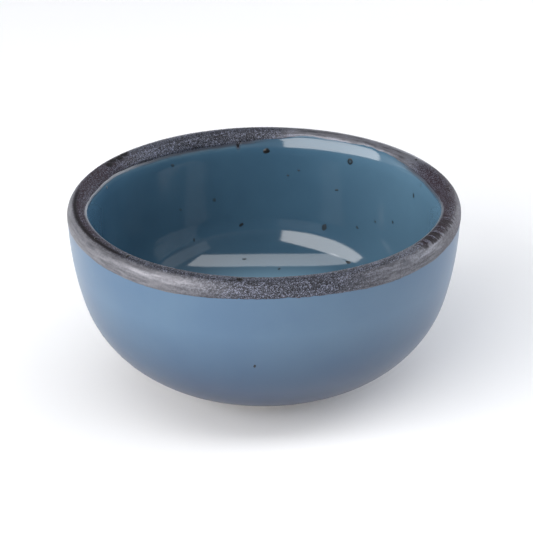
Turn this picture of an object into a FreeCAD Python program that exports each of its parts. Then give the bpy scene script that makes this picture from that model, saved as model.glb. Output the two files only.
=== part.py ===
import FreeCAD, Part
import math
import os
import Sketcher

# A glazed stoneware bowl with a dark speckled rim, built in the order a potter makes it:
# the turned clay body first, then the skins of glaze on it, then the iron spots in the glaze.
# Millimetres. +Z is up, and the origin is on the table, at the centre of the foot ring.

doc = FreeCAD.newDocument("ceramic_bowl")
sheet = doc.addObject("Spreadsheet::Sheet", "Sizes")

DRIVING_SIZES = [
    # the whole bowl
    ("bowl_radius", 60.0),  # over the outer glaze at the rim
    ("bowl_height", 60.0),  # table to the crest of the lip
    ("mouth_radius", 52.25),  # inside, just under the lip
    # the lip's tight arc over the crest, and the wider one that leads down inside
    ("lip_arc", 3.3),
    ("flare_arc", 16.5),
    # outer surface below the lip
    ("outer_wall_arc", 100.0),
    ("outer_corner_arc", 36.0),
    ("belly_arc", 78.0),
    ("belly_sink", 1.8),  # the belly arc would bottom out this far under the table
    # inner surface below the flare
    ("inner_wall_arc", 150.0),
    ("inner_wall_height", 55.5),  # of the wall arc's centre
    ("inner_corner_arc", 24.0),
    ("floor_arc", 102.0),
    ("floor_height", 6.3),
    # foot ring, bare clay
    ("foot_radius", 22.5),
    ("foot_width", 4.6),
    ("foot_bevel", 0.6),
    ("recess_depth", 1.9),
    ("recess_fillet", 1.0),
    # glaze
    ("glaze_thickness", 0.45),
    ("wiped_margin", 0.9),  # bare clay left between the outer glaze and the foot ring
    ("wiped_ring", 1.6),  # bare clay left round the glaze in the foot's recess
    ("band_outside", 5.3),  # crest of the lip to the rim glaze's lower edge, outside
    ("band_inside", 2.7),  # the same, inside
    # iron spots
    ("spot_proud", 0.12),
    ("large_spot", 1.15),  # radii
    ("medium_spot", 0.75),
    ("small_spot", 0.45),
    ("pin_length", 2.0),  # of the cutting pins, longer than any glaze is thick
]
for row, (alias, value) in enumerate(DRIVING_SIZES, start=1):
    sheet.set(f"A{row}", alias)
    sheet.set(f"B{row}", str(value))
    sheet.setAlias(f"B{row}", alias)
doc.recompute()

LIP_REACH = "Sizes.bowl_radius - Sizes.lip_arc"
LIP_HEIGHT = "Sizes.bowl_height - Sizes.lip_arc"
LOW_OUTSIDE = "Sizes.bowl_height - Sizes.band_outside"
LOW_INSIDE = "Sizes.bowl_height - Sizes.band_inside"
# The flare's centre is as far from the lip's as the two radii differ, and the inner wall's is
# as far from the flare's as the two radii add up to.
FLARE_REACH = "Sizes.mouth_radius + Sizes.flare_arc"
FLARE_HEIGHT = (
    f"{LIP_HEIGHT} - sqrt((Sizes.flare_arc - Sizes.lip_arc)^2"
    f" - ({FLARE_REACH} - ({LIP_REACH}))^2)"
)
INNER_WALL_REACH = (
    f"{FLARE_REACH} - sqrt((Sizes.inner_wall_arc + Sizes.flare_arc)^2"
    f" - (Sizes.inner_wall_height - ({FLARE_HEIGHT}))^2)"
)


def number(size):
    """What an expression over the sheet's cells comes to. None is the axis, or the table."""
    return 0.0 if size is None else float(sheet.evalExpression(size))


class Arc:
    """One arc of the bowl's surface, in the XZ plane.

    Clay is on the centre's side of an arc that swells, and air is on that side of a hollow
    one. place gives sizes for the centre's radius and height, and is left out where tangency
    to both neighbours settles the centre.
    """

    def __init__(self, radius, place=None, hollow=False, faces_axis=False):
        self.radius = radius
        self.place = place
        self.hollow = hollow
        self.faces_axis = faces_axis
        if place:
            self.centre = FreeCAD.Vector(number(place[0]), number(place[1]), 0)

    def moved(self, proud):
        """Its radius once the surface is moved this far into the air."""
        return f"{self.radius} {'-' if self.hollow else '+'} ({proud})"

    def at_height(self, height):
        rise = height - self.centre.y
        across = math.sqrt(number(self.radius) ** 2 - rise**2)
        return self.centre + FreeCAD.Vector(-across if self.faces_axis else across, rise, 0)

    def underside_at(self, reach):
        """Its point at this radius, below the centre. Only for arcs centred on the axis."""
        drop = math.sqrt(number(self.radius) ** 2 - reach**2)
        return self.centre + FreeCAD.Vector(reach, -drop, 0)


def corner_arc(radius, low, wall, hollow=False):
    """An arc tangent to the two larger ones of its own kind that it joins."""
    corner = Arc(radius, hollow=hollow)
    to_low = number(low.radius) - number(radius)
    to_wall = number(wall.radius) - number(radius)
    span = wall.centre - low.centre
    along = (to_low**2 - to_wall**2 + span.Length**2) / (2 * span.Length)
    aside = math.sqrt(to_low**2 - along**2)
    direction = span / span.Length
    left = FreeCAD.Vector(-direction.y, direction.x, 0)
    corner.centre = low.centre + direction * along + left * aside
    return corner


# The surface is one chain of arcs, each tangent to the next. It starts under the belly,
# climbs the outside, goes over the lip and comes down inside to the middle of the floor.
BELLY, OUTER_CORNER, OUTER_WALL, LIP, FLARE, INNER_WALL, INNER_CORNER, FLOOR = range(8)
OUTSIDE = (BELLY, OUTER_CORNER, OUTER_WALL)
INSIDE = (FLARE, INNER_WALL, INNER_CORNER, FLOOR)


def surface_chain():
    belly = Arc("Sizes.belly_arc", (None, "Sizes.belly_arc - Sizes.belly_sink"))
    wall_reach = "Sizes.bowl_radius - Sizes.outer_wall_arc"
    outer_wall = Arc("Sizes.outer_wall_arc", (wall_reach, LIP_HEIGHT))
    outer_corner = corner_arc("Sizes.outer_corner_arc", belly, outer_wall)
    lip = Arc("Sizes.lip_arc", (LIP_REACH, LIP_HEIGHT))
    flare = Arc("Sizes.flare_arc", (FLARE_REACH, FLARE_HEIGHT), faces_axis=True)
    wall_place = (INNER_WALL_REACH, "Sizes.inner_wall_height")
    inner_wall = Arc("Sizes.inner_wall_arc", wall_place, hollow=True)
    floor_place = (None, "Sizes.floor_height + Sizes.floor_arc")
    floor = Arc("Sizes.floor_arc", floor_place, hollow=True)
    inner_corner = corner_arc("Sizes.inner_corner_arc", floor, inner_wall, hollow=True)
    return [belly, outer_corner, outer_wall, lip, flare, inner_wall, inner_corner, floor]


def meeting(arc, following):
    """Where two arcs of the chain touch, on the line through their centres."""
    if arc.hollow != following.hollow:
        direction = following.centre - arc.centre
    elif number(arc.radius) > number(following.radius):
        direction = following.centre - arc.centre
    else:
        direction = arc.centre - following.centre
    return arc.centre + direction / direction.Length * number(arc.radius)


CHAIN = surface_chain()
# Arc number i runs from meeting i to meeting i + 1.
MEETINGS = [
    CHAIN[BELLY].underside_at(number("Sizes.foot_radius")),
    *[meeting(arc, following) for arc, following in zip(CHAIN, CHAIN[1:])],
    CHAIN[FLOOR].underside_at(0),
]


def on_surface(side, height):
    """The surface's point at this height, and the direction square to it."""
    for index in side:
        low, high = sorted((MEETINGS[index].y, MEETINGS[index + 1].y))
        if low <= height <= high:
            point = CHAIN[index].at_height(height)
            return point, (point - CHAIN[index].centre).normalize()
    raise ValueError(f"the bowl has no surface at {height} mm there")


START, END, CENTRE = 1, 2, 3  # the points of a sketched curve
ORIGIN, ORIGIN_POINT = -1, 1
LEVEL_AXIS, UPRIGHT_AXIS = -1, -2


class Profile:
    """A closed outline in a body's XZ plane, to be turned about the Z axis.

    Across is the sketch's horizontal direction, the radius, and up is its vertical one.
    """

    def __init__(self, label):
        self.body = doc.addObject("PartDesign::Body", label)
        self.body.Label = label
        planes = self.body.Origin.OriginFeatures
        upright = next(plane for plane in planes if plane.Role == "XZ_Plane")
        self.sketch = self.body.newObject("Sketcher::SketchObject", label + "_outline")
        self.sketch.AttachmentSupport = [(upright, "")]
        self.sketch.MapMode = "FlatFace"

    def rule(self, kind, *items, size=None):
        """One constraint, with its value bound to the sheet where it has one."""
        if size is None:
            self.sketch.addConstraint(Sketcher.Constraint(kind, *items))
            return
        index = self.sketch.addConstraint(Sketcher.Constraint(kind, *items, number(size)))
        self.sketch.setExpression(f"Constraints[{index}]", size)

    def across(self, point, size):
        """Sizes a point's radius. None puts it on the axis."""
        if size is None:
            self.rule("PointOnObject", *point, UPRIGHT_AXIS)
        else:
            self.rule("DistanceX", ORIGIN, ORIGIN_POINT, *point, size=size)

    def up(self, point, size):
        """Sizes a point's height. None puts it on the table."""
        if size is None:
            self.rule("PointOnObject", *point, LEVEL_AXIS)
        else:
            self.rule("DistanceY", ORIGIN, ORIGIN_POINT, *point, size=size)

    def place(self, point, across, up):
        self.across(point, across)
        self.up(point, up)

    def arc(self, centre, radius, start_angle, end_angle):
        circle = Part.Circle(centre, FreeCAD.Vector(0, 0, 1), radius)
        return self.sketch.addGeometry(Part.ArcOfCircle(circle, start_angle, end_angle))

    def lines(self, first, corners, last):
        """Straight lines from one point of the outline through corners to another."""
        before = first
        for across, up in corners:
            line = self.line(before, FreeCAD.Vector(number(across), number(up), 0))
            self.place((line, END), across, up)
            before = (line, END)
        line = self.line(before, self.sketch.getPoint(*last))
        self.rule("Coincident", line, END, *last)

    def line(self, before, end):
        """A straight line from an outline point to a place that isn't fixed yet."""
        start = self.sketch.getPoint(*before)
        line = self.sketch.addGeometry(Part.LineSegment(start, end))
        self.rule("Coincident", *before, line, START)
        return line

    def surface(self, first, last, proud, low_radius=None, top=None, bottom=None):
        """The chain's arcs from first to last, moved this far into the air.

        The belly starts at low_radius. Any other first arc starts at the height top, and any
        last arc but the floor ends at the height bottom. The floor runs to the axis. Returns
        the stretch's two ends.
        """
        points = MEETINGS[first : last + 2]
        if first != BELLY:
            points[0] = CHAIN[first].at_height(number(top))
        if last != FLOOR:
            points[-1] = CHAIN[last].at_height(number(bottom))
        ends = []
        for index, point, following in zip(range(first, last + 1), points, points[1:]):
            ends.append(self.chain_arc(index, index == first, proud, (point, following)))
        for (_, before), (after, _) in zip(ends, ends[1:]):
            self.rule("Tangent", *before, *after)
        begin, finish = ends[0][0], ends[-1][1]
        if first == BELLY:
            self.across(begin, low_radius)
        else:
            self.up(begin, top)
        if last == FLOOR:
            self.across(finish, None)
        else:
            self.up(finish, bottom)
        return begin, finish

    def chain_arc(self, index, is_first, proud, between):
        """One arc of the chain. Returns its two ends, in the chain's order.

        An arc with a placed centre takes its radius from tangency when the one before it is
        placed too.
        """
        arc = CHAIN[index]
        size = arc.moved(proud)
        spokes = [point - arc.centre for point in between]
        angles = [math.atan2(spoke.y, spoke.x) % math.tau for spoke in spokes]
        if arc.hollow:
            angles.reverse()
        if angles[1] < angles[0]:
            angles[0] -= math.tau
        curve = self.arc(arc.centre, number(size), *angles)
        if arc.place:
            self.place((curve, CENTRE), *arc.place)
        if is_first or not arc.place or not CHAIN[index - 1].place:
            self.rule("Radius", curve, size=size)
        ends = [(curve, START), (curve, END)]
        return ends[::-1] if arc.hollow else ends

    def turned(self):
        """The outline turned once round the Z axis."""
        turn = self.body.newObject("PartDesign::Revolution", self.body.Label + "_turned")
        turn.Profile = self.sketch
        turn.ReferenceAxis = (self.sketch, ["V_Axis"])
        turn.Angle = 360
        return self.body


CLAY = "-Sizes.glaze_thickness"  # how proud the clay is of the finished surface
FLUSH = "0"
PROUD = "Sizes.spot_proud"


def clay_body():
    """The fired clay: wall, floor and a low turned foot ring round a shallow recess."""
    profile = Profile("clay_body")
    belly_end, floor_end = profile.surface(BELLY, FLOOR, CLAY, low_radius="Sizes.foot_radius")

    recess_radius = "Sizes.foot_radius - Sizes.foot_width"
    fillet_across = f"{recess_radius} - Sizes.recess_fillet"
    fillet_up = "Sizes.recess_depth - Sizes.recess_fillet"
    centre = FreeCAD.Vector(number(fillet_across), number(fillet_up), 0)
    fillet = profile.arc(centre, number("Sizes.recess_fillet"), 0, math.pi / 2)
    profile.place((fillet, CENTRE), fillet_across, fillet_up)
    profile.place((fillet, START), recess_radius, fillet_up)
    profile.across((fillet, END), fillet_across)

    foot_ring = [
        ("Sizes.foot_radius", "Sizes.foot_bevel"),
        ("Sizes.foot_radius - Sizes.foot_bevel", None),
        (f"{recess_radius} + Sizes.foot_bevel", None),
        (recess_radius, "Sizes.foot_bevel"),
    ]
    profile.lines(belly_end, foot_ring, (fillet, START))
    profile.lines((fillet, END), [(None, "Sizes.recess_depth")], floor_end)
    return profile.turned()


def glaze_skin(label, proud, first, last, **cuts):
    """A skin on the clay along a stretch of the chain, this proud of the finished surface."""
    profile = Profile(label)
    air_ends = profile.surface(first, last, proud, **cuts)
    clay_ends = profile.surface(first, last, CLAY, **cuts)
    for air_end, clay_end in zip(air_ends, clay_ends):
        profile.lines(air_end, [], clay_end)
    return profile.turned()


def outer_skin(label, proud):
    """From the wiped line above the foot ring up to the rim glaze."""
    wiped_line = "Sizes.foot_radius + Sizes.wiped_margin"
    cuts = {"low_radius": wiped_line, "bottom": LOW_OUTSIDE}
    return glaze_skin(label, proud, BELLY, OUTER_WALL, **cuts)


def inner_skin(label, proud):
    """From the rim glaze down, and over the whole floor."""
    return glaze_skin(label, proud, FLARE, FLOOR, top=LOW_INSIDE)


def rim_skin(label, proud):
    """Over the lip, down to the edge of the band on each side."""
    return glaze_skin(label, proud, OUTER_WALL, FLARE, top=LOW_OUTSIDE, bottom=LOW_INSIDE)


def base_glaze():
    """A thin pool of glaze on the roof of the foot's recess, round at its edge."""
    profile = Profile("base_glaze")
    edge = "Sizes.foot_radius - Sizes.foot_width - Sizes.wiped_ring"
    under = "Sizes.recess_depth - Sizes.glaze_thickness"
    radius = number("Sizes.glaze_thickness")
    centre = FreeCAD.Vector(number(edge) - radius, number("Sizes.recess_depth"), 0)
    bead = profile.arc(centre, radius, -math.pi / 2, 0)
    profile.place((bead, START), f"{edge} - Sizes.glaze_thickness", under)
    profile.place((bead, END), edge, "Sizes.recess_depth")
    profile.rule("Radius", bead, size="Sizes.glaze_thickness")
    profile.lines((bead, START), [(None, under), (None, "Sizes.recess_depth")], (bead, END))
    return profile.turned()


# Iron spots: where each is, as degrees round the Z axis from +X and a height on the wall,
# or for those on the rim a radius, and the alias of its own radius.
INNER_SPOTS = [
    (89, 53.5, "large_spot"),
    (57, 53, "large_spot"),
    (66, 28.5, "large_spot"),
    (99, 28, "medium_spot"),
    (24, 50.5, "medium_spot"),
    (52, 20, "medium_spot"),
    (81, 45, "small_spot"),
    (77, 47, "small_spot"),
    (62, 42, "small_spot"),
    (20, 55.5, "small_spot"),
    (52, 31, "small_spot"),
    (35, 37.5, "small_spot"),
    (44, 35, "small_spot"),
    (125, 52.5, "small_spot"),
    (160, 55.5, "small_spot"),
    (109, 37.5, "small_spot"),
    (119, 25.5, "small_spot"),
    (123, 36.5, "small_spot"),
    (99, 18, "small_spot"),
    (83, 15.5, "small_spot"),
]
OUTER_SPOTS = [
    (-93, 32.5, "small_spot"),
    (28, 24, "small_spot"),
    (74, 44, "medium_spot"),
    (151, 37, "small_spot"),
    (203, 19, "small_spot"),
]
RIM_SPOTS = [
    (-97, 57.2, "medium_spot"),
    (-133, 56.8, "medium_spot"),
    (-149, 57.0, "small_spot"),
    (141, 57.0, "medium_spot"),
    (145, 57.0, "small_spot"),
    (30, 56.4, "small_spot"),
    (5, 56.9, "small_spot"),
]
# The wall nearest -Y has smaller spots in a loose spiral: this many, this far apart.
SPIRAL_SPOTS = 14
SPIRAL_START = -158.0
SPIRAL_TURN = 137.5
SPIRAL_SPAN = 150.0
SPIRAL_LOW = 9.0
SPIRAL_RISE = 3.2
for step in range(SPIRAL_SPOTS):
    angle = SPIRAL_START + (step * SPIRAL_TURN) % SPIRAL_SPAN
    INNER_SPOTS.append((angle, SPIRAL_LOW + step * SPIRAL_RISE, "small_spot"))


def pin(place, normal, degrees, size):
    """A pin through the surface at a point of the XZ plane, then turned round the Z axis."""
    cylinder = doc.addObject("Part::Cylinder", "spot_pin")
    cylinder.setExpression("Radius", f"Sizes.{size}")
    cylinder.setExpression("Height", "Sizes.pin_length")
    tail = place - normal * (number("Sizes.pin_length") / 2)
    turn = FreeCAD.Rotation(FreeCAD.Vector(0, 0, 1), degrees)
    spread = FreeCAD.Vector(tail.x, 0, tail.y)
    along = FreeCAD.Vector(normal.x, 0, normal.y)
    lean = FreeCAD.Rotation(FreeCAD.Vector(0, 0, 1), along)
    cylinder.Placement = FreeCAD.Placement(turn.multVec(spread), turn * lean)
    return cylinder


def wall_pins(side, spots):
    return [pin(*on_surface(side, height), degrees, size) for degrees, height, size in spots]


def rim_pins(spots):
    crest = number("Sizes.bowl_height")
    upward = FreeCAD.Vector(0, 1, 0)
    return [pin(FreeCAD.Vector(reach, crest, 0), upward, *rest) for reach, *rest in spots]


def glaze_with_spots(glaze_label, spots_label, make_skin, pins):
    """A glaze with a hole for each pin, and the spots of melted iron that fill the holes.

    The spots go down to the clay like the glaze, and stand a little proud of it.
    """
    cutters = doc.addObject("Part::Compound", spots_label + "_pins")
    cutters.Links = pins
    glaze = doc.addObject("Part::Cut", glaze_label)
    glaze.Base = make_skin(glaze_label + "_skin", FLUSH)
    glaze.Tool = cutters
    spots = doc.addObject("Part::Common", spots_label)
    spots.Base = make_skin(spots_label + "_skin", PROUD)
    spots.Tool = cutters
    for node in (glaze, spots):
        node.Label = node.Name
    return [glaze, spots]


nodes = [clay_body(), base_glaze()]
inner_pins = wall_pins(INSIDE, INNER_SPOTS)
outer_pins = wall_pins(OUTSIDE, OUTER_SPOTS)
rim_tops = rim_pins([(reach, degrees, size) for degrees, reach, size in RIM_SPOTS])
nodes += glaze_with_spots("inner_glaze", "inner_spots", inner_skin, inner_pins)
nodes += glaze_with_spots("outer_glaze", "outer_spots", outer_skin, outer_pins)
nodes += glaze_with_spots("rim_glaze", "rim_spots", rim_skin, rim_tops)
doc.recompute()

for item in doc.Objects:
    if "Invalid" in item.State or "Error" in item.State:
        raise RuntimeError(f"{item.Label} did not compute: {item.State}")
for node in nodes:
    if node.Shape.isNull() or not node.Shape.isValid():
        raise RuntimeError(f"{node.Label} has no valid shape")
SPOT_PINS = {"inner_spots": inner_pins, "outer_spots": outer_pins, "rim_spots": rim_tops}
for spots, pins in SPOT_PINS.items():
    if len(doc.getObject(spots).Shape.Solids) != len(pins):
        raise RuntimeError(f"{spots} has fewer or more solids than pins")

os.makedirs("parts", exist_ok=True)
for node in nodes:
    node.Shape.exportStep(f"parts/{node.Label}.step")
    print(node.Label, len(node.Shape.Solids), "solids", round(node.Shape.Volume, 2), "mm3")
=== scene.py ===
import math
from types import SimpleNamespace

import bmesh
import bpy
import numpy as np
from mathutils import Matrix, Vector


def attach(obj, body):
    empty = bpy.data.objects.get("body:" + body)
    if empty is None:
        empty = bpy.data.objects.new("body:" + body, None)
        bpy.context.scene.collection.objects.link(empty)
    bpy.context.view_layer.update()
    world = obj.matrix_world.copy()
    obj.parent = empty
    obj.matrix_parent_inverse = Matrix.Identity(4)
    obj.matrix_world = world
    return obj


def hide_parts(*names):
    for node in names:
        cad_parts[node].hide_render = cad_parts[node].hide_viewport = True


# A glazed stoneware bowl: satin blue outside, glossy teal inside, and a dark metallic rim.
# Shapes are worked out in millimetres, like the design, and go into meshes in metres. Angles
# round the bowl start at +X and run anticlockwise seen from above, so the camera is at -90.

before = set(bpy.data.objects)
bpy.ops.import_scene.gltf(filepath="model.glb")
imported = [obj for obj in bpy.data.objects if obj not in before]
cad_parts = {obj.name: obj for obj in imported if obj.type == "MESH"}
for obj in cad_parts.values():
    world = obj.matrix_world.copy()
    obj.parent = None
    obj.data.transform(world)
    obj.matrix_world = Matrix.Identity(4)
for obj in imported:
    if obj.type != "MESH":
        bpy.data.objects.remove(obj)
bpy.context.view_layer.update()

MM = 0.001


# ---------------------------------------------------------------- the bowl's surface

# in mm
BOWL_RADIUS = 60.0
BOWL_HEIGHT = 60.0
MOUTH_RADIUS = 52.25
LIP_ARC = 3.3
FLARE_ARC = 16.5
OUTER_WALL_ARC = 100.0
OUTER_CORNER_ARC = 36.0
BELLY_ARC = 78.0
BELLY_SINK = 1.8
INNER_WALL_ARC = 150.0
INNER_WALL_HEIGHT = 55.5
INNER_CORNER_ARC = 24.0
FLOOR_ARC = 102.0
FLOOR_HEIGHT = 6.3
GLAZE_THICKNESS = 0.45
FOOT_RADIUS = 22.5
FOOT_WIDTH = 4.6
FOOT_BEVEL = 0.6
RECESS_DEPTH = 1.9
RECESS_FILLET = 1.0
WIPED_RING = 1.6
COAT_START = 2.2  # the height at which the outer glaze begins
UNDERLAP = 0.02  # how far a coat goes into the clay under it
BAND_OUTSIDE = 5.3
BAND_INSIDE = 0.45


def polar(radius, angle):
    return np.array([radius * math.cos(angle), radius * math.sin(angle)])


def corner_centre(low, low_radius, wall, wall_radius, radius):
    """The centre of an arc that touches two larger ones of its own kind from within."""
    span = wall - low
    length = np.hypot(*span)
    along = ((low_radius - radius) ** 2 - (wall_radius - radius) ** 2 + length**2) / (2 * length)
    aside = math.sqrt((low_radius - radius) ** 2 - along**2)
    direction = span / length
    return low + direction * along + np.array([-direction[1], direction[0]]) * aside


def bearing(start, end):
    return math.atan2(end[1] - start[1], end[0] - start[0])


class Outline:
    """The surface in the XZ plane, from under the belly over the lip to the floor's middle.

    It is a chain of tangent arcs, and points on it are found by their distance along it.
    """

    def __init__(self):
        lip = np.array([BOWL_RADIUS - LIP_ARC, BOWL_HEIGHT - LIP_ARC])
        belly = np.array([0, BELLY_ARC - BELLY_SINK])
        wall = np.array([BOWL_RADIUS - OUTER_WALL_ARC, lip[1]])
        corner = corner_centre(belly, BELLY_ARC, wall, OUTER_WALL_ARC, OUTER_CORNER_ARC)
        flare_reach = MOUTH_RADIUS + FLARE_ARC
        flare_drop = math.sqrt((FLARE_ARC - LIP_ARC) ** 2 - (flare_reach - lip[0]) ** 2)
        flare = np.array([flare_reach, lip[1] - flare_drop])
        inner_rise = INNER_WALL_HEIGHT - flare[1]
        inner_across = math.sqrt((INNER_WALL_ARC + FLARE_ARC) ** 2 - inner_rise**2)
        inner = np.array([flare_reach - inner_across, INNER_WALL_HEIGHT])
        floor = np.array([0, FLOOR_HEIGHT + FLOOR_ARC])
        hollow = corner_centre(floor, FLOOR_ARC, inner, INNER_WALL_ARC, INNER_CORNER_ARC)

        start = -math.acos(FOOT_RADIUS / BELLY_ARC)
        lip_turn = bearing(flare, lip)
        flare_turn = bearing(flare, inner) % math.tau
        # centre, radius, first angle, last angle
        arcs = [
            (belly, BELLY_ARC, start, bearing(belly, corner)),
            (corner, OUTER_CORNER_ARC, bearing(belly, corner), bearing(wall, corner)),
            (wall, OUTER_WALL_ARC, bearing(wall, corner), 0),
            (lip, LIP_ARC, 0, lip_turn),
            (flare, FLARE_ARC, lip_turn, flare_turn),
            (inner, INNER_WALL_ARC, flare_turn - math.pi, bearing(inner, hollow)),
            (hollow, INNER_CORNER_ARC, bearing(inner, hollow), bearing(floor, hollow)),
            (floor, FLOOR_ARC, bearing(floor, hollow), -math.pi / 2),
        ]
        self.centres = np.array([arc[0] for arc in arcs])
        self.radii = np.array([arc[1] for arc in arcs])
        self.firsts = np.array([arc[2] for arc in arcs])
        sweeps = np.array([arc[3] for arc in arcs]) - self.firsts
        self.turns = np.sign(sweeps)
        self.breaks = np.concatenate([[0], np.cumsum(self.radii * np.abs(sweeps))])
        self.length = self.breaks[-1]
        self.crest = self.breaks[3] + LIP_ARC * math.pi / 2

    def at(self, along):
        """Points (radius, height) and unit normals into the air, at distances along."""
        along = np.asarray(along, float)
        index = np.clip(np.searchsorted(self.breaks, along, "right") - 1, 0, len(self.radii) - 1)
        turn = self.turns[index]
        angle = self.firsts[index] + turn * (along - self.breaks[index]) / self.radii[index]
        spoke = np.stack([np.cos(angle), np.sin(angle)], -1)
        points = self.centres[index] + spoke * self.radii[index][..., None]
        return points, spoke * turn[..., None]

    def at_height(self, height, inside):
        """The distance along at which the surface has this height, on one side of the crest."""
        low, high = (self.crest, self.length) if inside else (0, self.crest)
        along = np.linspace(low, high, 4000)
        heights = self.at(along)[0][:, 1]
        if inside:
            return np.interp(-np.asarray(height), -heights, along)
        return np.interp(height, heights, along)


outline = Outline()


def raised(along, lift):
    """Radius and height of points this far out of the surface."""
    points, normals = outline.at(along)
    return points[..., 0] + normals[..., 0] * lift, points[..., 1] + normals[..., 1] * lift


# ---------------------------------------------------------------- irregularity

def noise(angle, along, cells, size, seed):
    """Smooth random values from -1 to 1. There are this many cells round the bowl, and each
    is this many millimetres long."""
    rows = int(np.max(along) / size) + 3
    table = np.random.default_rng(seed).uniform(-1, 1, (rows, cells))
    across = (np.asarray(angle) / math.tau % 1) * cells
    down = np.asarray(along) / size
    column, row = np.floor(across).astype(int), np.floor(down).astype(int)
    u, v = across - column, down - row
    u, v = u * u * (3 - 2 * u), v * v * (3 - 2 * v)
    column, row = column % cells, np.clip(row, 0, rows - 2)
    beside = (column + 1) % cells
    upper = table[row, column] * (1 - u) + table[row, beside] * u
    lower = table[row + 1, column] * (1 - u) + table[row + 1, beside] * u
    return upper * (1 - v) + lower * v


def bump(distance):
    """1 at no distance, falling smoothly to 0 at a distance of 1."""
    near = np.clip(1 - np.asarray(distance) ** 2, 0, 1)
    return near**2


def ramp(value, low, high):
    """0 up to low, 1 from high on, and a smooth climb between."""
    share = np.clip((np.asarray(value) - low) / (high - low), 0, 1)
    return share * share * (3 - 2 * share)


def sector(angle, middle, half, soft):
    """1 within half degrees of the middle, falling to 0 over soft degrees more."""
    return 1 - ramp(np.abs(turn_apart(angle, middle)), half, half + soft)


def turn_apart(angle, degrees):
    """How many degrees an angle is from this one, the short way, from -180 to 180."""
    return (np.degrees(angle) - degrees + 180) % 360 - 180


# ---------------------------------------------------------------- meshes

def turned_mesh(name, radius, height, angles, closed):
    """A mesh from rings: arrays of radius and height in mm, by ring and by angle.

    A closed section joins its last ring to its first. An open one ends in a point on the axis
    at each end, and its first and last rings give only those points' heights.
    """
    rings, around = radius.shape
    x, y = radius * np.cos(angles), radius * np.sin(angles)
    points = np.stack([x, y, height], -1) * MM
    if closed:
        vertices = points.reshape(-1, 3)
        next_rings = [(ring, (ring + 1) % rings) for ring in range(rings)]
    else:
        poles = np.array([[0, 0, height[0, 0]], [0, 0, height[-1, 0]]]) * MM
        vertices = np.concatenate([points[1:-1].reshape(-1, 3), poles])
        next_rings = [(ring, ring + 1) for ring in range(rings - 3)]
    column = np.arange(around)
    beside = (column + 1) % around
    faces = []
    for ring, following in next_rings:
        a, b = ring * around, following * around
        quads = np.stack([a + column, a + beside, b + beside, b + column], -1)
        faces.extend(quads.tolist())
    if not closed:
        begin, finish = len(vertices) - 2, len(vertices) - 1
        last = (rings - 3) * around
        faces.extend([[begin, int(b), int(a)] for a, b in zip(column, beside)])
        faces.extend([[finish, int(last + a), int(last + b)] for a, b in zip(column, beside)])
    mesh = bpy.data.meshes.new(name)
    mesh.from_pydata(vertices.tolist(), [], faces)
    outward(mesh)
    return mesh


def outward(mesh, merge=0.0):
    """Faces turned outwards and shaded smooth, and vertices within merge mm joined."""
    work = bmesh.new()
    work.from_mesh(mesh)
    if merge:
        bmesh.ops.remove_doubles(work, verts=work.verts, dist=merge * MM)
    bmesh.ops.recalc_face_normals(work, faces=work.faces)
    work.to_mesh(mesh)
    work.free()
    mesh.shade_smooth()


def paint(mesh, name, values):
    """A number for each vertex, for a material to read."""
    attribute = mesh.attributes.new(name, "FLOAT", "POINT")
    attribute.data.foreach_set("value", np.clip(values, 0, 1).astype(np.float32).ravel())


def put(name, mesh, material, node):
    """A piece that rides on the one body and stands in for a node of the design."""
    piece = bpy.data.objects.new(name, mesh)
    bpy.context.scene.collection.objects.link(piece)
    mesh.materials.append(material)
    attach(piece, "root")
    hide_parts(node)


# ---------------------------------------------------------------- materials

def linear(hexadecimal):
    """A colour written as six hexadecimal digits, as the linear values a shader takes."""
    parts = [int(hexadecimal[i : i + 2], 16) / 255 for i in (0, 2, 4)]
    return [*(p / 12.92 if p <= 0.04045 else ((p + 0.055) / 1.055) ** 2.4 for p in parts), 1]


def map_range(nodes, low, high, to_low, to_high):
    """A node that takes low to to_low and high to to_high, smoothly, and goes no further."""
    node = nodes.new("ShaderNodeMapRange")
    node.interpolation_type = "SMOOTHSTEP"
    node.inputs["From Min"].default_value = low
    node.inputs["From Max"].default_value = high
    node.inputs["To Min"].default_value = to_low
    node.inputs["To Max"].default_value = to_high
    return node


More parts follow.
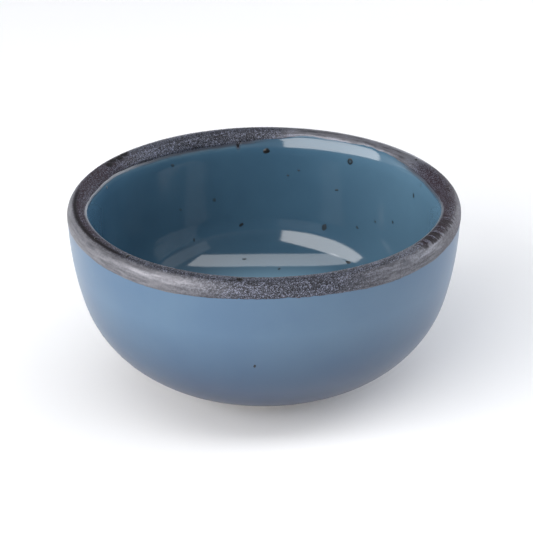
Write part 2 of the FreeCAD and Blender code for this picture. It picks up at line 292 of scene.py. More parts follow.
class Material:
    """A Principled material and short ways to wire procedural detail into it."""

    def __init__(self, name, **sockets):
        self.material = bpy.data.materials.new(name)
        self.material.use_nodes = True
        self.nodes = self.material.node_tree.nodes
        self.links = self.material.node_tree.links
        self.shader = self.nodes["Principled BSDF"]
        self.place = self.nodes.new("ShaderNodeTexCoord").outputs["Object"]
        for socket, value in sockets.items():
            self.shader.inputs[socket.replace("_", " ")].default_value = value

    def wire(self, source, target):
        """A number or colour is set on the socket, and anything else is linked to it."""
        if isinstance(source, (int, float, list, tuple)):
            target.default_value = source
        else:
            self.links.new(source, target)

    def noise(self, per_metre, detail=3.0, roughness=0.5):
        node = self.nodes.new("ShaderNodeTexNoise")
        node.inputs["Scale"].default_value = per_metre
        node.inputs["Detail"].default_value = detail
        node.inputs["Roughness"].default_value = roughness
        self.links.new(self.place, node.inputs["Vector"])
        return node.outputs["Fac"]

    def painted(self, name):
        """The numbers that paint() gave the vertices."""
        node = self.nodes.new("ShaderNodeAttribute")
        node.attribute_name = name
        return node.outputs["Fac"]

    def spread(self, value, low, high, to_low=0.0, to_high=1.0):
        """value, stretched so that low and high become to_low and to_high, and no further."""
        node = map_range(self.nodes, low, high, to_low, to_high)
        self.wire(value, node.inputs["Value"])
        return node.outputs["Result"]

    def maths(self, operation, first, second):
        node = self.nodes.new("ShaderNodeMath")
        node.operation = operation
        self.wire(first, node.inputs[0])
        self.wire(second, node.inputs[1])
        return node.outputs[0]

    def mix(self, share, first, second):
        """Two colours, mixed by share."""
        node = self.nodes.new("ShaderNodeMix")
        node.data_type = "RGBA"
        self.wire(share, node.inputs["Factor"])
        self.wire(first, node.inputs[6])
        self.wire(second, node.inputs[7])
        return node.outputs[2]

    def colour(self, source):
        self.wire(source, self.shader.inputs["Base Color"])

    def roughness(self, source):
        self.wire(source, self.shader.inputs["Roughness"])

    def metallic(self, source):
        self.wire(source, self.shader.inputs["Metallic"])

    def relief(self, height, depth_mm, strength=1.0):
        node = self.nodes.new("ShaderNodeBump")
        node.inputs["Distance"].default_value = depth_mm * MM
        node.inputs["Strength"].default_value = strength
        self.links.new(height, node.inputs["Height"])
        self.links.new(node.outputs["Normal"], self.shader.inputs["Normal"])


def outer_glaze_material():
    """Satin blue with faint clouding, and painted shade that makes it darker towards the foot."""
    glaze = Material("outer_glaze", IOR=1.42)
    clouds = glaze.spread(glaze.noise(45, 4), 0.3, 0.7)
    base = glaze.mix(clouds, linear("4B637C"), linear("50687F"))
    # Painted shade: the blue darkens low down towards the foot.
    base = glaze.mix(glaze.painted("foot_shade"), base, linear("051A3A"))
    patchy = glaze.spread(glaze.noise(600), 0.3, 0.7, 0.5, 1)
    bare = glaze.maths("MULTIPLY", glaze.painted("thin"), patchy)
    base = glaze.mix(bare, base, linear("6B625F"))
    glaze.colour(base)
    glaze.roughness(glaze.spread(glaze.noise(60, 2), 0.25, 0.75, 0.29, 0.31))
    return glaze.material


def inner_glaze_material():
    """Glossy teal: paler towards the middle of the floor and just under the rim, with painted light
    that makes the +X wall a little paler, and stained round the spots.
    """
    glaze = Material("inner_glaze", IOR=1.6)
    clouds = glaze.spread(glaze.noise(50, 4), 0.3, 0.7)
    base = glaze.mix(clouds, linear("3A576C"), linear("3F5D72"))
    # Paler towards the middle of the floor, and painted light: a little paler on the +X wall.
    base = glaze.mix(glaze.painted("paler_floor_and_painted_light"), base, linear("98BED4"))
    patchy = glaze.spread(glaze.noise(300), 0.25, 0.75, 0.6, 1)
    halo = glaze.maths("MULTIPLY", glaze.painted("halo"), patchy)
    base = glaze.mix(halo, base, linear("5F7A88"))
    base = glaze.mix(glaze.painted("stain"), base, linear("2B3A42"))
    base = glaze.mix(glaze.painted("dry"), base, linear("2C2B36"))
    glaze.colour(base)
    gloss = glaze.spread(glaze.noise(60, 2), 0.25, 0.75, 0.07, 0.09)
    matt = glaze.spread(glaze.painted("dry"), 0, 1, 0, 0.35)
    glaze.roughness(glaze.maths("ADD", gloss, matt))
    return glaze.material


def rim_material():
    """A metallic oxide glaze: silver on the grains, plum where it is thick, satin where it ran, and
    there a lighter silver colour that is partly painted sheen.
    """
    glaze = Material("rim_glaze", IOR=1.4)
    # Where the band is smooth: less grain, more metal, and a lighter silver colour that is partly
    # painted sheen.
    polish_and_sheen = glaze.painted("polish_and_sheen")
    rough = glaze.maths("SUBTRACT", 1.0, polish_and_sheen)
    fine = glaze.noise(3700, 2, 0.6)
    speckle = glaze.maths("MULTIPLY", glaze.spread(fine, 0.34, 0.66, -0.5, 0.5), rough)
    grains = glaze.maths("ADD", glaze.painted("relief"), speckle)
    base = glaze.mix(glaze.spread(grains, 0.05, 0.55), linear("0C0C12"), linear("444650"))
    base = glaze.mix(glaze.spread(grains, 0.6, 1.0), base, linear("7E8294"))
    between = glaze.spread(grains, 0.35, 1.0, 1.0, 0.35)
    plum = glaze.maths("MULTIPLY", glaze.painted("plum"), between)
    base = glaze.mix(plum, base, linear("200C17"))
    streaks = glaze.spread(glaze.painted("relief"), 0.3, 0.6)
    # Painted sheen: the smooth places get a lighter silver colour than the grains.
    silver_and_sheen = glaze.mix(streaks, linear("505056"), linear("7C7C82"))
    base = glaze.mix(polish_and_sheen, base, silver_and_sheen)
    base = glaze.mix(glaze.painted("edge"), base, linear("2A171A"))
    base = glaze.mix(glaze.painted("black"), base, linear("08040A"))
    glaze.colour(base)
    shiny = glaze.maths("SUBTRACT", glaze.maths("MAXIMUM", grains, polish_and_sheen), plum)
    glaze.metallic(glaze.spread(shiny, 0.1, 0.9, 0.15, 0.55))
    dull = glaze.maths("MAXIMUM", glaze.painted("plum"), glaze.painted("black"))
    glaze.roughness(glaze.spread(dull, 0, 1, 0.42, 0.8))
    glaze.relief(glaze.maths("MULTIPLY", fine, rough), 0.2, 0.8)
    return glaze.material


def spot_material(name, dark, brown, roughness):
    """Iron that has melted into the glaze, browner where it is thin."""
    iron = Material(name, IOR=1.4)
    base = iron.mix(iron.spread(iron.noise(900, 3), 0.35, 0.7), linear(dark), linear(brown))
    base = iron.mix(iron.painted("pale"), base, linear("3D5A6B"))
    iron.colour(base)
    iron.roughness(iron.spread(iron.noise(1500, 2), 0.3, 0.7, roughness * 0.8, roughness * 1.2))
    iron.relief(iron.noise(2000, 2), 0.03, 0.4)
    return iron.material


def clay_material():
    """Bare stoneware, sandy and dry, with darker grog."""
    clay = Material("bare_clay", Specular_IOR_Level=0.3)
    body = clay.mix(clay.spread(clay.noise(160, 5), 0.3, 0.7), linear("8F8578"), linear("A39887"))
    grog = clay.spread(clay.noise(2600, 2), 0.62, 0.72)
    body = clay.mix(grog, body, linear("6E5947"))
    clay.colour(body)
    clay.roughness(clay.spread(clay.noise(700, 3), 0.3, 0.7, 0.75, 0.95))
    clay.relief(clay.noise(1800, 4, 0.6), 0.12, 0.7)
    return clay.material


# ---------------------------------------------------------------- where the band ends

DRIP_PLACE = 99.3  # degrees from +X, on the inside
DRIP_REACH = 1.5
DRIP_WIDTH = 0.85  # degrees to each side


def band_edge_outside(angle):
    """How far below the crest the rim glaze ends on the outside, in mm."""
    swing = 0.42 * np.cos(5 * np.radians(turn_apart(angle, -121)))
    ragged = 0.10 * noise(angle, 0 * angle, 90, 1, 11) + 0.07 * noise(angle, 0 * angle, 320, 1, 12)
    return BAND_OUTSIDE + swing + ragged


def band_edge_inside(angle):
    """How far below the crest it ends on the inside, in mm, with a drip in one place.

    The rim was dipped askew: at the front the band hardly passes the crest. It went deepest
    at the back left, and less deep at the back right.
    """
    back = 1 - ramp(np.abs(turn_apart(angle, 90)), 76, 104)
    ragged = 0.20 * noise(angle, 0 * angle, 48, 1, 13) + 0.10 * noise(angle, 0 * angle, 210, 1, 14)
    deepest = 1.5 * bump(turn_apart(angle, 118) / 45)
    shallow = 1.3 * sector(angle, 58, 16, 16)
    drip = DRIP_REACH * bump(turn_apart(angle, DRIP_PLACE) / DRIP_WIDTH)
    return BAND_INSIDE + (2.1 + ragged - shallow) * back + deepest + drip


# ---------------------------------------------------------------- spots

def loose_parts(node):
    """The centre in mm of each separate solid of a CAD node, and its radius."""
    work = bmesh.new()
    work.from_mesh(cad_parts[node].data)
    bmesh.ops.remove_doubles(work, verts=work.verts, dist=0.002 * MM)
    unseen = set(work.verts)
    parts = []
    while unseen:
        part, edge = [], [min(unseen, key=lambda vertex: vertex.index)]
        unseen.discard(edge[0])
        while edge:
            vertex = edge.pop()
            part.append(vertex.co.copy())
            for link in vertex.link_edges:
                other = link.other_vert(vertex)
                if other in unseen:
                    unseen.discard(other)
                    edge.append(other)
        points = np.array(part) / MM
        centre = (points.min(0) + points.max(0)) / 2
        parts.append((centre, np.linalg.norm(points - centre, axis=1).max()))
    work.free()
    return sorted(parts, key=lambda one: tuple(one[0]))


def spot_places(node):
    """Angle, distance along the outline, and radius of each spot of a node."""
    along = np.linspace(0, outline.length, 20000)
    points = outline.at(along)[0]
    places = []
    for centre, radius in loose_parts(node):
        angle = math.atan2(centre[1], centre[0])
        reach = math.hypot(centre[0], centre[1])
        nearest = np.argmin(np.hypot(points[:, 0] - reach, points[:, 1] - centre[2]))
        places.append((angle, float(along[nearest]), radius))
    return places


SPOT_RINGS = 7
SPOT_SIDES = 28
SPOT_DEPTH = 0.1  # from the edge down to the underside
SPOT_SEED = 500


def spot_faces(first):
    """A spot's faces: its top, its underside and the edge between them."""
    under = first + SPOT_RINGS * SPOT_SIDES
    last = (SPOT_RINGS - 1) * SPOT_SIDES
    faces = []
    for step in range(SPOT_SIDES):
        after = (step + 1) % SPOT_SIDES
        for a in range(0, last, SPOT_SIDES):
            quad = np.array([a + step, a + SPOT_SIDES + step, a + SPOT_SIDES + after, a + after])
            faces.append((first + quad).tolist())
            faces.append((under + quad)[::-1].tolist())
        edge = np.array([first + step, under + step, under + after, first + after])
        faces.append((edge + last).tolist())
    return faces


def spot_mesh(name, places, shape_of, sink):
    """All of a node's spots in one mesh. Each is a low irregular dome that follows the bowl."""
    share = np.linspace(0, 1, SPOT_RINGS)[:, None]
    way = np.arange(SPOT_SIDES) / SPOT_SIDES * math.tau
    vertices, faces, pale = [], [], []
    for number, (angle, along, radius) in enumerate(places):
        rng = np.random.default_rng(SPOT_SEED + number)
        shape = shape_of(angle, along)
        wobble = rng.uniform(-1, 1, 4)
        turns = rng.uniform(0, math.tau, 4)
        stretch = shape.get("stretch", 1 + 0.25 * rng.uniform())
        lean = shape.get("lean", rng.uniform(0, math.pi))
        tall = shape.get("height", 0.05 + 0.06 * (radius > 1))
        dome = shape.get("profile", round_dome)(share)

        waves = [w * np.cos((lobes + 2) * way + t) for lobes, (w, t) in enumerate(zip(wobble, turns))]
        size = radius * shape.get("scale", 1) * share * (1 + 0.09 * sum(waves))
        u, v = size * np.cos(way) * stretch, size * np.sin(way) / stretch
        across = u * math.cos(lean) - v * math.sin(lean)
        down = u * math.sin(lean) + v * math.cos(lean)
        around = angle + across / np.maximum(outline.at(along + down)[0][..., 0], 1)
        faces += spot_faces(len(vertices))
        for rise in (dome * tall - sink * share**2, -sink - SPOT_DEPTH):
            reach, height = raised(along + down, rise)
            points = np.stack([reach * np.cos(around), reach * np.sin(around), height], -1) * MM
            vertices += points.reshape(-1, 3).tolist()

        heart = shape.get("heart", 0) * (share < 0.45)
        border = shape.get("border", 0.7) * np.clip((share - 0.6) / 0.4, 0, 1)
        faded = 0.65 * np.maximum(np.maximum(heart, border), shape.get("pale", 0.15))
        pale += [np.broadcast_to(faded, size.shape).ravel()] * 2
    mesh = bpy.data.meshes.new(name)
    mesh.from_pydata(vertices, [], faces)
    paint(mesh, "pale", np.concatenate(pale))
    outward(mesh, merge=0.0005)
    return mesh


def round_dome(share):
    return 1 - share**2


def crater(share):
    """A ring with a hollow middle, left by a bubble."""
    return 0.25 + 0.9 * bump((share - 0.62) / 0.4)


# What is particular about some spots inside, by their degrees from +X and their height in mm.
# "pale" is how much of the blue shows through, and "lean" turns the stretched way, in radians.
PARTICULAR_SPOTS = {
    (89, 53.5): {"height": 0.2, "stretch": 1.12, "lean": 0.2, "pale": 0},
    (57, 53): {"profile": crater, "heart": 0.75, "height": 0.07, "stretch": 1.03},
    (66, 28.5): {"pale": 0.35, "height": 0.06, "stretch": 1.2, "lean": 1.45},
    (99, 28): {"stretch": 1.5, "lean": 0.5, "pale": 0.2},
    (24, 50.5): {"stretch": 1.6, "lean": 1.75},
    (52, 20): {"stretch": 1.5, "lean": 0.1, "pale": 0.2},
    (20, 55.5): {"stretch": 2.4, "lean": 1.57, "scale": 1.1, "pale": 0.45},
    (77, 47): {"stretch": 1.3, "lean": 0.1, "pale": 0.35},
    (81, 45): {"pale": 0.4},
    (62, 42): {"stretch": 1.7, "lean": 0.2, "scale": 1.15, "pale": 0.2},
    (52, 31): {"pale": 0.55, "scale": 1.5},
    (44, 35): {"pale": 0.65},
    (125, 52.5): {"pale": 0.65, "scale": 1.2},
    (160, 55.5): {"pale": 0.6},
    (109, 37.5): {"pale": 0.7, "scale": 1.7},
    (119, 25.5): {"stretch": 1.5, "lean": 1.4, "pale": 0.45},
    (123, 36.5): {"pale": 0.8},
    (99, 18): {"stretch": 1.9, "lean": 0, "pale": 0.6},
    (83, 15.5): {"stretch": 1.4, "lean": 0.6, "pale": 0.3},
}


def inner_shape(angle, along):
    """What is particular about a spot inside, if anything is."""
    height = outline.at(along)[0][1]
    for (degrees, level), shape in PARTICULAR_SPOTS.items():
        if abs(turn_apart(angle, degrees)) < 1.5 and abs(height - level) < 1:
            return shape
    return {}


def outer_shape(angle, along):
    """The few specks on the outside are small, and dark almost to the edge."""
    return {"pale": 0, "border": 0.3, "height": 0.1, "scale": 1.3}


def rim_shape(angle, along):
    """The rim's black specks stand a little proud of its grain."""
    return {"pale": 0, "border": 0, "height": 0.27, "scale": 1.1}


# ---------------------------------------------------------------- pieces

def stain_near(angle, along, places, spread):
    """How stained the glaze is at each vertex by the spots in it, from 0 to 1."""
    stain = 0 * (angle + along)
    reach = outline.at(along)[0][..., 0]
    for spot_angle, spot_along, radius in places:
        across = np.radians(turn_apart(angle, math.degrees(spot_angle))) * reach
        distance = np.hypot(across, along - spot_along)
        stain = np.maximum(stain, bump(distance / (radius * spread)))
    return stain


def grid(around, rows):
    """Angles along the columns and distances along the rows, ready to combine."""
    angles = np.arange(around) / around * math.tau
    shape = (len(rows), around)
    return np.broadcast_to(angles, shape), np.broadcast_to(rows[:, None], shape)


def both_sides(air, clay):
    """One section from the air side's rings and the clay side's, in opposite orders."""
    return np.concatenate([air[0], clay[0][::-1]]), np.concatenate([air[1], clay[1][::-1]])


def outer_glaze(material):
    """The blue coat outside, which ends in a rounded roll above the bare foot."""
    around, rows = 560, 132
    start = outline.at_height(COAT_START, False)
    under_band = 2.0  # how far the coat is carried on under the rim glaze
    finish = outline.at_height(BOWL_HEIGHT - BAND_OUTSIDE + under_band, False)
    angles, along = grid(around, np.linspace(start, finish, rows))
    wander = 0.25 * noise(angles, 0 * along, 14, 1, 21) + 0.12 * noise(angles, 0 * along, 60, 1, 22)
    fade = bump((along - start) / 9)
    along = along + wander * fade
    roll = 0.28 * bump((along - start - 1.6) / 2.2)
    thrown = 0.06 * noise(angles, along, 5, 14, 23) + 0.03 * noise(angles, along, 11, 6, 24)
    rounded = GLAZE_THICKNESS * 1.2 * bump((along - start) / 0.9)
    air = raised(along, thrown * (1 - bump((along - start) / 4)) + roll - rounded)
    clay_along = grid(around, np.linspace(start, finish, 12))[1]
    clay = raised(clay_along, -GLAZE_THICKNESS - UNDERLAP)
    radius, height = both_sides(air, clay)
    mesh = turned_mesh("outer_glaze_coat", radius, height, angles[0], closed=True)
    thin = 0.55 * bump((along - start) / 1.1)
    # Painted shade: none from 43 mm high, growing to full at 9 mm and below.
    foot_shade = np.clip((43 - outline.at(along)[0][..., 1]) / 34, 0, 1)
    paint(mesh, "thin", np.concatenate([thin, 0 * clay_along]))
    paint(mesh, "foot_shade", np.concatenate([foot_shade, 0 * clay_along]))
    put("outer_glaze_coat", mesh, material, "outer_glaze")


def inner_glaze(places):
    """The glossy coat inside, carried on a little way under the rim glaze."""
    around, rows = 560, 150
    start = outline.crest - 0.5
    angles, along = grid(around, np.linspace(start, outline.length, rows))
    below_band = along - outline.at_height(BOWL_HEIGHT - band_edge_inside(angles[0]), True)
    thrown = 0.05 * noise(angles, along, 5, 15, 31) + 0.02 * noise(angles, along, 12, 6, 32)
    middle = bump((outline.length - along) / 8)
    dimples = 0.02 * stain_near(angles, along, places, 1.6)
    reach = outline.at(along)[0][..., 0]
    air = raised(along, thrown * (1 - middle) - dimples - 0.35 * ramp(-below_band, 0, 1.2))
    clay_along = grid(around, np.linspace(start, outline.length, 24))[1]
    clay = raised(clay_along, -GLAZE_THICKNESS - UNDERLAP)
    radius, height = both_sides(air, clay)
    # An open section starts and ends on the axis, so each side's rings are put the other way.
    order = np.concatenate([np.arange(rows)[::-1], np.arange(rows, len(radius))[::-1]])
    mesh = turned_mesh("inner_glaze_coat", radius[order], height[order], angles[0], closed=False)
    painted = {
        "halo": 0.6 * bump((below_band - 0.5) / 1.8) * sector(angles, 140, 20, 45),
        # paler towards the middle of the floor; the sector near +X is painted light
        "paler_floor_and_painted_light": np.maximum(ramp(-reach, -46, -28), 0.13 * sector(angles, 4, 16, 60)),
        "dry": 0.9 * (1 - ramp(below_band, 0.3, 1.3)) * (1 - 0.85 * sector(angles, 62, 22, 14)),
        "stain": 0.35 * stain_near(angles, along, places, 1.5),
    }
    for name, values in painted.items():
        whole = np.concatenate([values, 0 * clay_along])[order]
        rings = whole[1:-1].reshape(-1)
        paint(mesh, name, np.concatenate([rings, [whole[0, 0], whole[-1, 0]]]))
    put("inner_glaze_coat", mesh, inner_glaze_material(), "inner_glaze")


# Black lumps on the lip: degrees, mm in from the crest, and height.
LUMPS = [(149, 0.2, 0.24), (152, 0.9, 0.16), (146, 0.7, 0.2), (143, 0.1, 0.12)]


def rim_zones(angles, from_crest):
    """How much each vertex lies in each kind of place on the band, mostly from 0 to 1."""
    flank = ramp(-from_crest, 1.0, 2.4)  # the outer flank of the lip
    # The left front flank: smoother glaze, and painted sheen where the left panel's reflection falls.
    silver_and_sheen = 0.95 * flank * sector(angles, -146, 26, 26)
    satin = 0.5 * flank * sector(angles, -30, 22, 22)
    smooth = 0.6 * sector(angles, 56, 20, 12)
    return SimpleNamespace(
        # Every smooth place gets the lighter silver colour, which is partly painted sheen.
        polish_and_sheen=np.maximum(np.maximum(silver_and_sheen, satin), smooth),
        streaky=1.3 * sector(angles, 54, 22, 16) + 0.6 * sector(angles, -45, 8, 22) + 0.35 * silver_and_sheen,
        left_plum=sector(angles, -178, 24, 26) * (1 - flank),
        right_plum=sector(angles, -3, 20, 18) * (1 - 0.5 * satin),
        scratched=sector(angles, -27, 9, 5) * ramp(from_crest, -2.9, -2.1),
        groove=bump((from_crest + 0.9) / 0.95) * sector(angles, -160, 22, 8),
    )


def rim_glaze():
    """The dark band over the lip: grainy in most places, and smooth where the glaze ran, with a lighter
    silver colour there that is partly painted sheen.
    """
    around, rows = 1280, 66
    angles, share = grid(around, np.linspace(0, 1, rows))
    edge_out = outline.at_height(BOWL_HEIGHT - band_edge_outside(angles[0]), False)
    edge_in = outline.at_height(BOWL_HEIGHT - band_edge_inside(angles[0]), True)
    along = edge_out + (edge_in - edge_out) * share
    from_edge = np.minimum(along - edge_out, edge_in - along)
    from_crest = along - outline.crest
    zone = rim_zones(angles, from_crest)
    grainy = 1 - zone.polish_and_sheen

    # Fine grains everywhere, long streaks round the lip, short hairs across it, and rows.
    grain = 0.5 * noise(angles, along, 900, 0.4, 41) + 0.65 * noise(angles, along, 1280, 0.24, 42)
    streaks = 0.6 * noise(angles, along, 90, 0.45, 43) + 0.4 * noise(angles, along, 200, 0.3, 44)
    hairs = noise(angles, along, 900, 2.6, 45)
    in_rows = noise(angles, along, 150, 0.32, 46)
    coarse = 1 - 0.92 * zone.polish_and_sheen - 0.75 * np.clip(zone.streaky, 0, 1) * grainy
    coarse = coarse * (1 - 0.2 * zone.left_plum - 0.5 * zone.right_plum)
    tone = 0.45 + (0.42 * grain + 0.16 * in_rows) * coarse + 0.34 * streaks * zone.streaky
    tone = tone + zone.scratched * (0.75 * hairs - 0.1) + 0.2 * sector(angles, 56, 20, 16)

    # The surface: thin at both edges, grainy, and sunk into the groove.
    feather = np.clip(from_edge / 0.7, 0, 1) ** 0.6
    lift = -0.10 + (0.22 + 0.09 * grain * coarse + 0.03 * streaks * zone.streaky) * feather
    lift = lift + 0.08 * hairs * zone.scratched - 0.12 * zone.groove
    black = np.maximum(zone.groove, 0.75 * zone.scratched * ramp(-hairs, -0.1, 0.4))
    for degrees, inward, height in LUMPS:
        across = np.radians(turn_apart(angles, degrees)) * (BOWL_RADIUS - LIP_ARC)
        lump = bump(np.hypot(across / 1.5, from_crest - inward) / 1.5)
        lift = lift + height * lump
        black = np.maximum(black, np.clip(2 * lump, 0, 1))
    drip_tip = bump(turn_apart(angles, DRIP_PLACE)) * ramp(share, 0.86, 0.97)
    black = np.maximum(black, drip_tip)
    air = raised(along, lift)

    clay_along = edge_out + (edge_in - edge_out) * grid(around, np.linspace(0, 1, 8))[1]
    clay = raised(clay_along, -GLAZE_THICKNESS - UNDERLAP)
    radius, height = both_sides(air, clay)
    mesh = turned_mesh("rim_glaze_band", radius, height, angles[0], closed=True)
    inner_edge = 0.8 * bump((edge_in - along) / 1.3) * sector(angles, -125, 60, 20)
    painted = {
        "relief": tone,
        "polish_and_sheen": zone.polish_and_sheen,
        "plum": np.maximum.reduce([0.95 * zone.left_plum, zone.right_plum, zone.scratched, inner_edge]),
        "edge": 0.8 * bump((along - edge_out) / 0.7) * grainy,
        "black": black,
    }
    for name, values in painted.items():
        paint(mesh, name, np.concatenate([values, 0 * clay_along]))
    put("rim_glaze_band", mesh, rim_material(), "rim_glaze")


def clay_body():
    """The fired body. Only its foot shows: turned grooves round a low ring."""
    around, rows = 384, 140
    covered = outline.at_height(COAT_START, False)
    angles, along = grid(around, np.linspace(covered, outline.length, rows))
    radius, height = raised(along, -GLAZE_THICKNESS)
    foot = foot_section()
    foot_radius = np.broadcast_to(foot[:, :1], (len(foot), around))
    foot_height = np.broadcast_to(foot[:, 1:], (len(foot), around))
    foot_angles = np.broadcast_to(angles[0], foot_radius.shape)
    step = np.broadcast_to(np.arange(len(foot))[:, None] * 0.25, foot_radius.shape)
    grit = 0.04 * noise(foot_angles, step, 260, 0.8, 51)
    grooves = 0.03 * np.sin(foot_radius * 5.2)  # left by the turning tool, 1.2 mm apart
    shown = np.clip(foot_radius / 3, 0, 1) * np.clip((foot_height - 0.02) / 0.4, 0, 1)
    foot_height = foot_height + (grit + grooves) * shown
    radius, height = np.concatenate([foot_radius, radius]), np.concatenate([foot_height, height])
    mesh = turned_mesh("clay_foot_and_body", radius, height, angles[0], closed=False)
    put("clay_foot_and_body", mesh, clay_material(), "clay_body")


def foot_section():
    """Points from the middle of the recess's roof, over the foot ring, up to the belly."""
    recess = FOOT_RADIUS - FOOT_WIDTH
    roof = [(r, RECESS_DEPTH) for r in np.linspace(0, recess - RECESS_FILLET, 40)]
    fillet_centre = np.array([recess - RECESS_FILLET, RECESS_DEPTH - RECESS_FILLET])
    turn = np.linspace(math.pi / 2, 0, 8)[1:]
    fillet = [fillet_centre + polar(RECESS_FILLET, angle) for angle in turn]
    ring = [(recess, FOOT_BEVEL)]
    ring += [(recess + FOOT_BEVEL * (1 - math.cos(a)), FOOT_BEVEL * (1 - math.sin(a)))
             for a in np.linspace(0, math.pi / 2, 7)[1:]]
    ring += [(r, 0) for r in np.linspace(recess + FOOT_BEVEL, FOOT_RADIUS - FOOT_BEVEL, 14)[1:]]
    ring += [(FOOT_RADIUS - FOOT_BEVEL * (1 - math.sin(a)), FOOT_BEVEL * (1 - math.cos(a)))
             for a in np.linspace(0, math.pi / 2, 7)[1:]]
    belly, normal = outline.at(outline.at_height(COAT_START, False))
    top = belly - normal * GLAZE_THICKNESS
    meets = outline.at(0)[0][1] + GLAZE_THICKNESS
    ring += [(FOOT_RADIUS, h) for h in np.linspace(FOOT_BEVEL, meets, 6)[1:]]
    ring += [(r, h) for r, h in zip(np.linspace(FOOT_RADIUS, top[0], 5)[1:-1],
                                    np.linspace(meets, top[1], 5)[1:-1])]
    return np.array([*roof, *fillet, *ring], float)


def base_glaze(material):
    """A pool of glaze in the recess under the bowl, rounded off at its wavy edge."""
    around, rows = 300, 60
    edge = FOOT_RADIUS - FOOT_WIDTH - WIPED_RING
    angles, share = grid(around, np.linspace(0, 1, rows))
    waves = 0.3 * noise(angles, 0 * share, 11, 1, 61) + 0.15 * noise(angles, 0 * share, 40, 1, 62)
    wavy = edge - 0.5 + waves
    radius = wavy * share
    swell = GLAZE_THICKNESS * (1 - np.clip((share - 0.93) / 0.07, 0, 1) ** 2) ** 0.5
    ripple = 0.03 * noise(angles, radius, 9, 5, 63) * (1 - bump(share * 3))
    under = RECESS_DEPTH - swell - ripple * (share < 0.97)
    top = np.full((6, around), RECESS_DEPTH + UNDERLAP)
    top_radius = wavy[:6] * np.linspace(1, 0, 6)[:, None]
    mesh = turned_mesh("base_glaze_pool", np.concatenate([radius, top_radius]),
                       np.concatenate([under, top]), angles[0], closed=False)
    paint(mesh, "thin", np.zeros(len(mesh.vertices)))
    put("base_glaze_pool", mesh, material, "base_glaze")


inner_places = spot_places("inner_spots")
outer_places = spot_places("outer_spots")
rim_places = spot_places("rim_spots")
satin_blue = outer_glaze_material()

clay_body()
outer_glaze(satin_blue)
inner_glaze(inner_places)
rim_glaze()
base_glaze(satin_blue)
put("inner_iron_spots", spot_mesh("inner_iron_spots", inner_places, inner_shape, 0.04),
    spot_material("iron_inside", "08090B", "1E1816", 0.35), "inner_spots")
put("outer_iron_spots", spot_mesh("outer_iron_spots", outer_places, outer_shape, 0.04),
    spot_material("iron_outside", "15161A", "2C2522", 0.35), "outer_spots")
put("rim_black_spots", spot_mesh("rim_black_spots", rim_places, rim_shape, -0.08),
    spot_material("rim_spots", "0D0B0E", "1C171B", 0.3), "rim_spots")


# ---------------------------------------------------------------- room, light and camera

def floor():
    """A pale, very slightly uneven sheet that the bowl stands on."""
    size, cells = 2.2, 40
    mesh = bpy.data.meshes.new("floor")
    work = bmesh.new()
    bmesh.ops.create_grid(work, x_segments=cells, y_segments=cells, size=size)
    work.to_mesh(mesh)
    work.free()
    paper = Material("floor", Specular_IOR_Level=0.1)
    paper.colour(paper.mix(paper.noise(3), linear("F7F7F8"), linear("FBFBFB")))
    paper.roughness(0.9)
    mesh.materials.append(paper.material)
    sheet = bpy.data.objects.new("floor", mesh)
    bpy.context.scene.collection.objects.link(sheet)


def panel(name, centre, facing, width, height, radiance, colour):
    """A soft rectangular light. Its brightness doesn't depend on its size."""
    light = bpy.data.lights.new(name, "AREA")
    light.shape = "RECTANGLE"
    light.size, light.size_y = width, height
    light.energy = radiance * math.pi * width * height
    light.color = colour
    lamp = bpy.data.objects.new(name, light)
    lamp.location = centre
    lamp.rotation_euler = (Vector(facing) - Vector(centre)).to_track_quat("-Z", "Y").to_euler()
    lamp.visible_camera = False
    bpy.context.scene.collection.objects.link(lamp)


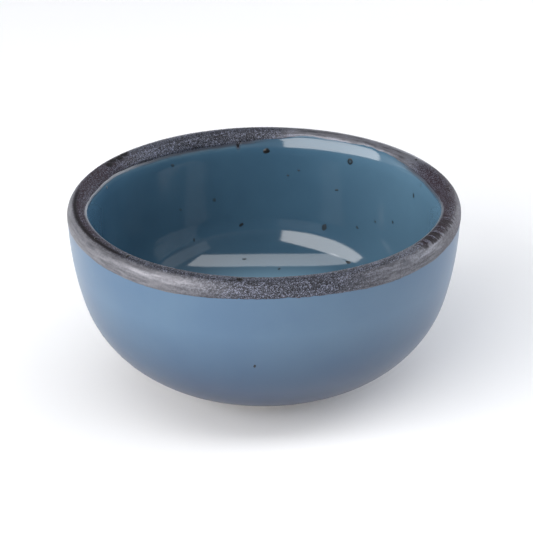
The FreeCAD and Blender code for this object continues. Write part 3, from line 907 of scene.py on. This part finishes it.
def lights():
    """A big panel at the left, a long strip overhead, and two smaller panels at the right."""
    far = 1.2  # metres, and the measure of all the distances and sizes

    def around(azimuth, height):
        """A place beside the bowl. Azimuths are from the camera's side of it, towards +X."""
        turn = math.radians(azimuth)
        return (far * math.sin(turn), -far * math.cos(turn), height * far)

    panel("left_panel", around(-49, 0.46), facing=(0, 0, 0.46 * far),
          width=1.42 * far, height=0.88 * far, radiance=5.2, colour=(1.0, 0.985, 0.97))
    panel("overhead_strip", (-0.1 * far, -0.37 * far, far), facing=(-0.1 * far, -0.37 * far, 0),
          width=2.1 * far, height=0.42 * far, radiance=3.1, colour=(1, 1, 1))
    panel("right_panel", around(72, 0.68), facing=(0, 0, 0.68 * far),
          width=0.95 * far, height=0.36 * far, radiance=0.5, colour=(0.96, 0.98, 1.0))
    panel("right_back_panel", around(128, 0.24), facing=(0, 0, 0.1 * far),
          width=1.3 * far, height=0.46 * far, radiance=4.6, colour=(0.9, 0.93, 1.0))


def room():
    """A studio that is dim overhead and bright near the horizon, most of all at the back right."""
    world = bpy.data.worlds.new("room")
    bpy.context.scene.world = world
    world.use_nodes = True
    nodes, links = world.node_tree.nodes, world.node_tree.links
    background = nodes["Background"]
    background.inputs["Color"].default_value = (0.92, 0.95, 1.0, 1)
    direction = nodes.new("ShaderNodeSeparateXYZ")
    links.new(nodes.new("ShaderNodeTexCoord").outputs["Generated"], direction.inputs["Vector"])

    def fade(axis, low, high, to_low, to_high):
        node = map_range(nodes, low, high, to_low, to_high)
        links.new(direction.outputs[axis], node.inputs["Value"])
        return node.outputs["Result"]

    def product(first, second):
        node = nodes.new("ShaderNodeMath")
        node.operation = "MULTIPLY"
        links.new(first, node.inputs[0])
        links.new(second, node.inputs[1])
        return node.outputs[0]

    upwards = fade("Z", 0.05, 0.5, 0.85, 0.14)
    backwards = fade("Y", -0.6, 0.9, 0.45, 1.9)
    sideways = fade("X", 0.1, 1.0, 1.0, 2.4)
    strength = product(product(upwards, backwards), sideways)
    links.new(strength, background.inputs["Strength"])
    bpy.context.scene.view_settings.view_transform = "Standard"


def camera():
    """A long lens, 26 degrees above the table."""
    elevation = math.radians(26.1)
    distance, aim_height = 0.5509, 0.03528
    roll = math.radians(-0.404)
    aim_right, aim_up = 0.62 * MM, 0.75 * MM
    lens = bpy.data.cameras.new("camera")
    lens.lens = 119.27
    lens.sensor_width = 36
    lens.clip_start = 0.01
    eye = bpy.data.objects.new("camera", lens)
    back = Vector((0, -math.cos(elevation), math.sin(elevation)))
    up = Vector((0, math.sin(elevation), math.cos(elevation)))
    eye.location = Vector((0, 0, aim_height)) + back * distance
    aim = Vector((aim_right, 0, aim_height)) + up * aim_up
    eye.rotation_euler = (aim - eye.location).to_track_quat("-Z", "Y").to_euler()
    eye.rotation_euler.rotate_axis("Z", roll)
    bpy.context.scene.collection.objects.link(eye)
    bpy.context.scene.camera = eye


floor()
lights()
room()
camera()
